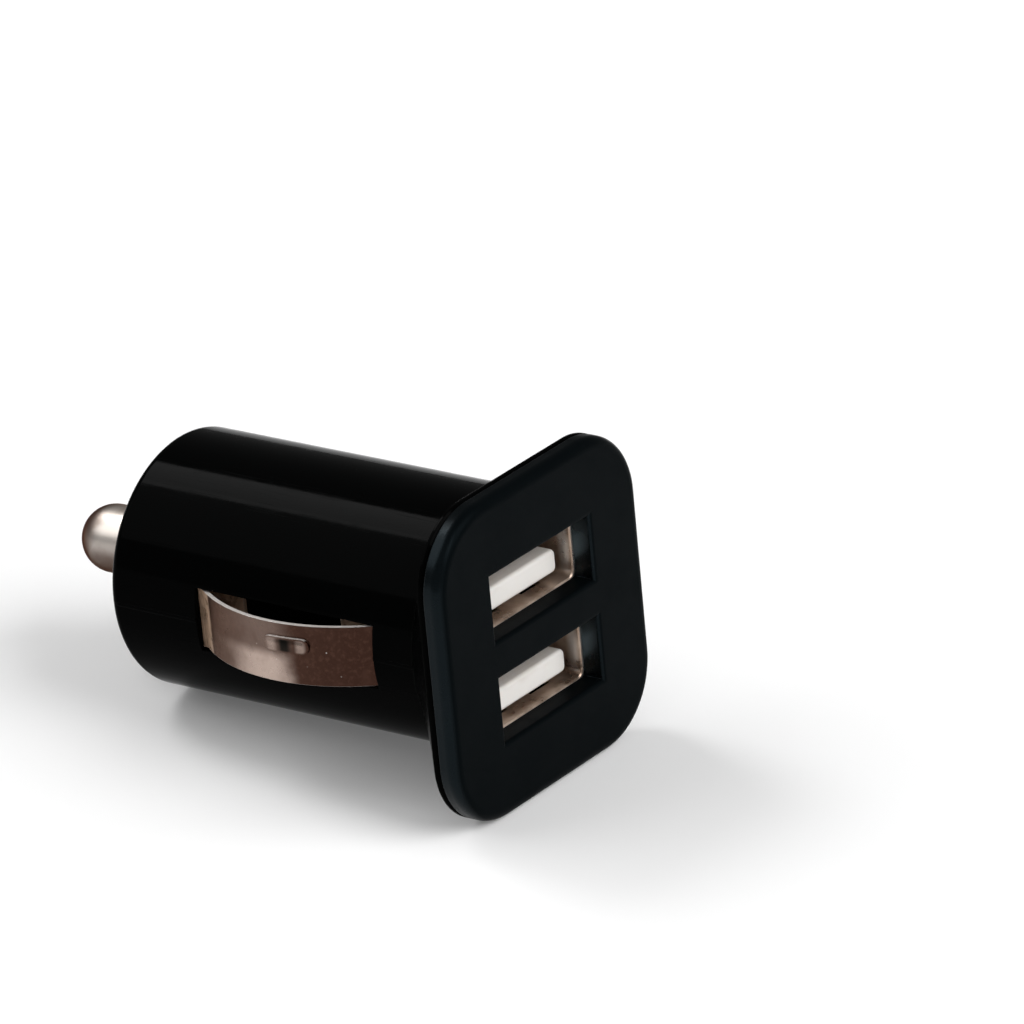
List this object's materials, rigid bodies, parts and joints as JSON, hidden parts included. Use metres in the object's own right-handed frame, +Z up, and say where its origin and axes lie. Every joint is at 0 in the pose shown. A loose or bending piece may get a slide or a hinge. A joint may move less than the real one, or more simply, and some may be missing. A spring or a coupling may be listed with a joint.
{
  "type": "car usb charger plug",
  "caption": "Stubby car charger plug: a glossy barrel with bowed side clips and a sprung tip, flaring to a rounded square face with USB sockets one above the other.",
  "frame": {"origin": "on the plug's axis, in the plane where the face plate meets the body shell", "axes": "+Y along the plug towards its contact tip, +Z up across the two sockets, +X to the right seen from the sockets"},
  "size_m": [0.026, 0.0457, 0.0262],
  "materials": {
    "gloss_black": "moulded plastic, polished mould, glossy black",
    "satin_black": "moulded plastic, satin black with a cool cast",
    "clip_nickel": "spring steel strip, nickel plated, rolled and handled",
    "shield_nickel": "folded steel sheet, nickel plated",
    "tip_nickel": "turned brass, nickel plated, satin",
    "spring_steel": "drawn spring wire",
    "brass": "stamped brass sheet",
    "contact_gold": "stamped strip, gold flash",
    "tinned_strip": "tinned strip",
    "white_plastic": "moulded insulator, warm white",
    "board_green": "glass fibre board with green solder mask",
    "can_aluminium": "drawn can",
    "ferrite": "sintered ferrite",
    "copper_wire": "enamelled copper winding",
    "chip_black": "moulded epoxy"
  },
  "bodies": {
    "body": {"body_shell": "gloss_black", "face_plate": "satin_black", "left_clip": "clip_nickel", "right_clip": "clip_nickel", "upper_shield": "shield_nickel", "lower_shield": "shield_nickel", "upper_tongue": "white_plastic", "lower_tongue": "white_plastic", "upper_contacts": "contact_gold", "lower_contacts": "contact_gold", "tip_spring": "spring_steel", "tip_terminal": "brass", "left_ground_finger": "tinned_strip", "right_ground_finger": "tinned_strip", "port_board": "board_green", "main_board": "board_green", "board_pins": "tinned_strip", "input_capacitor": "can_aluminium", "output_capacitor": "can_aluminium", "inductor_core": "ferrite", "inductor_winding": "copper_wire", "converter_chip": "chip_black", "chip_legs": "tinned_strip", "rectifier_diode": "chip_black", "diode_tabs": "tinned_strip", "chip_resistors": "chip_black"},
    "tip": {"contact_tip": "tip_nickel"}
  },
  "joints": [
    {"name": "tip_slide", "type": "slide", "parent": "body", "child": "tip", "axis": [0, -1, 0], "range_m": [0, 0.0025], "stiffness_N_per_m": 400, "springref_m": -0.0005, "deforming": ["tip_spring"]}
  ]
}
